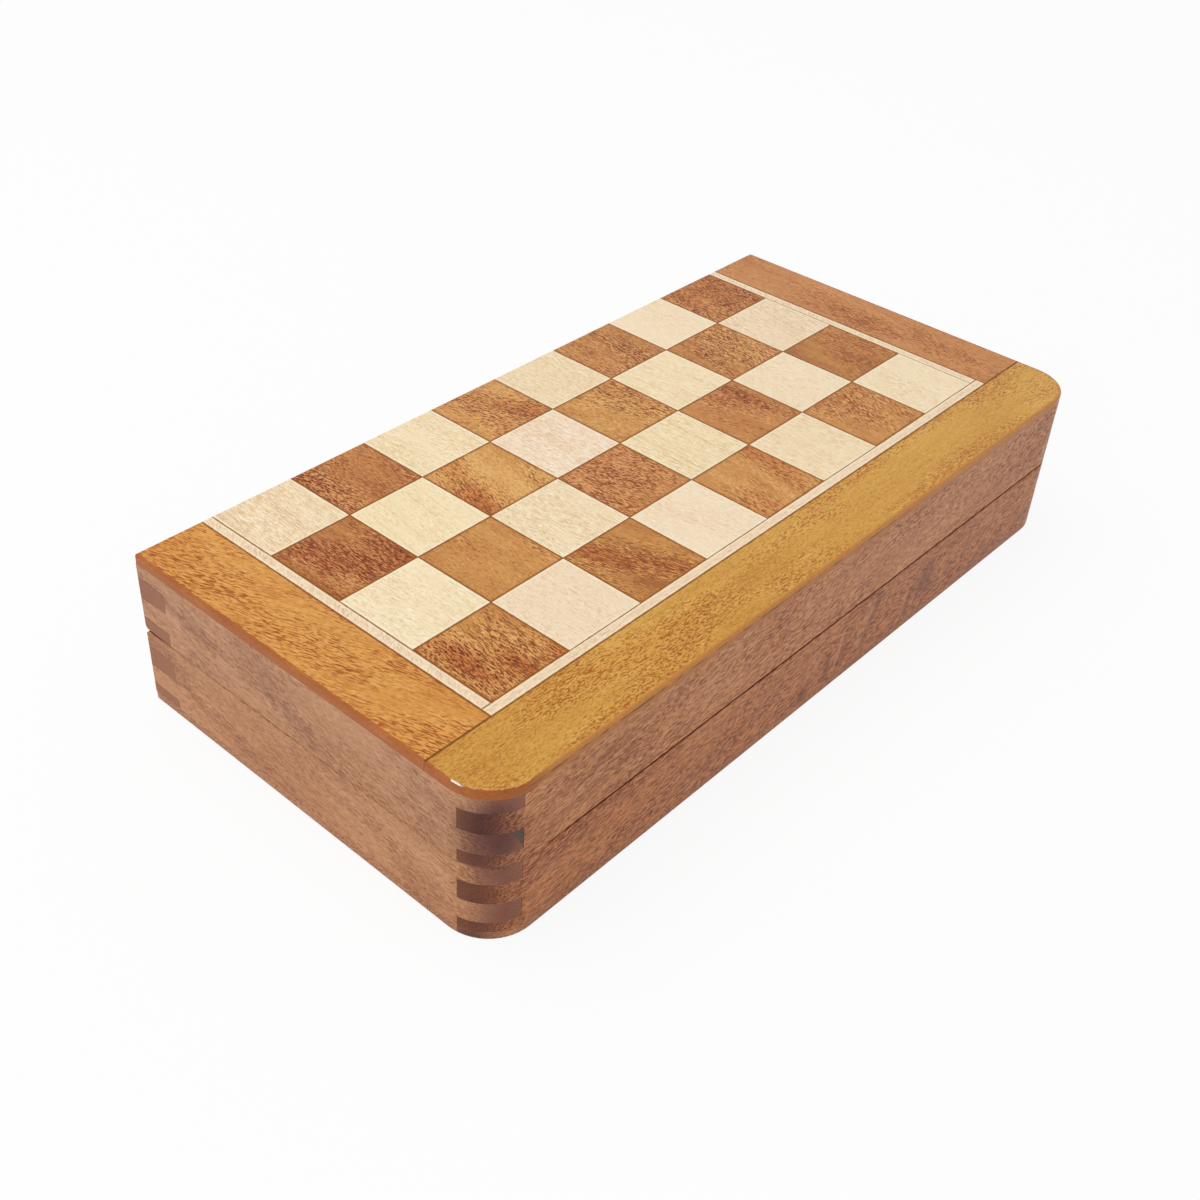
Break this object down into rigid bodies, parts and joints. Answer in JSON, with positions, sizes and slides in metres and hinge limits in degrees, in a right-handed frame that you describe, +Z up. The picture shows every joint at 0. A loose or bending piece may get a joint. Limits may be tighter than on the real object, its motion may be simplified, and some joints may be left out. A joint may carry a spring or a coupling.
{
  "type": "folding chess box",
  "caption": "Folding wooden chess box: two hinged finger-jointed trays whose outer faces form the board, with slotted inserts for the chessmen.",
  "frame": {"origin": "on the ground under the centre of the closed box, halfway along the hinge and halfway between the front and back walls", "axes": "+X along the hinge to the right when seen from the front, +Y towards the hinged long edge, +Z up through the closed lid"},
  "size_m": [0.2556, 0.1279, 0.048],
  "materials": {
    "light_wood": "satin lacquered maple",
    "dark_wood": "satin lacquered dark open-pored hardwood",
    "border_wood": "satin lacquered brown open-pored hardwood",
    "stringing_wood": "satin lacquered maple",
    "wall_wood": "satin lacquered reddish brown hardwood",
    "panel_plywood": "sanded plywood",
    "lining_velvet": "short-pile velvet",
    "insert_flock": "flocked foam",
    "hinge_brass": "brushed and lacquered",
    "screw_brass": "turned",
    "pin_steel": "drawn wire",
    "magnet_nickel": "nickel plated"
  },
  "bodies": {
    "base": {"base_front_wall": "wall_wood", "base_back_wall": "wall_wood", "base_left_wall": "wall_wood", "base_right_wall": "wall_wood", "base_panel": "panel_plywood", "base_floor_lining": "lining_velvet", "base_insert": "insert_flock", "base_magnets": "magnet_nickel", "base_front_border": "border_wood", "base_left_border": "border_wood", "base_right_border": "border_wood", "base_front_stringing": "stringing_wood", "base_left_stringing": "stringing_wood", "base_right_stringing": "stringing_wood", "base_row1_dark_squares": "dark_wood", "base_row1_light_squares": "light_wood", "base_row2_dark_squares": "dark_wood", "base_row2_light_squares": "light_wood", "base_row3_dark_squares": "dark_wood", "base_row3_light_squares": "light_wood", "base_row4_dark_squares": "dark_wood", "base_row4_light_squares": "light_wood", "base_hinge_screws": "screw_brass", "left_hinge_base_leaf": "hinge_brass", "left_hinge_pin": "pin_steel", "right_hinge_base_leaf": "hinge_brass", "right_hinge_pin": "pin_steel"},
    "lid": {"lid_front_wall": "wall_wood", "lid_back_wall": "wall_wood", "lid_left_wall": "wall_wood", "lid_right_wall": "wall_wood", "lid_panel": "panel_plywood", "lid_floor_lining": "lining_velvet", "lid_insert": "insert_flock", "lid_magnets": "magnet_nickel", "lid_front_border": "border_wood", "lid_left_border": "border_wood", "lid_right_border": "border_wood", "lid_front_stringing": "stringing_wood", "lid_left_stringing": "stringing_wood", "lid_right_stringing": "stringing_wood", "lid_row1_dark_squares": "dark_wood", "lid_row1_light_squares": "light_wood", "lid_row2_dark_squares": "dark_wood", "lid_row2_light_squares": "light_wood", "lid_row3_dark_squares": "dark_wood", "lid_row3_light_squares": "light_wood", "lid_row4_dark_squares": "dark_wood", "lid_row4_light_squares": "light_wood", "lid_hinge_screws": "screw_brass", "left_hinge_lid_leaf": "hinge_brass", "right_hinge_lid_leaf": "hinge_brass"}
  },
  "joints": [
    {"name": "lid_hinge", "type": "hinge", "parent": "base", "child": "lid", "pos_m": [0, 0.063, 0.024], "axis": [-1, 0, 0], "range_deg": [0, 180]}
  ]
}
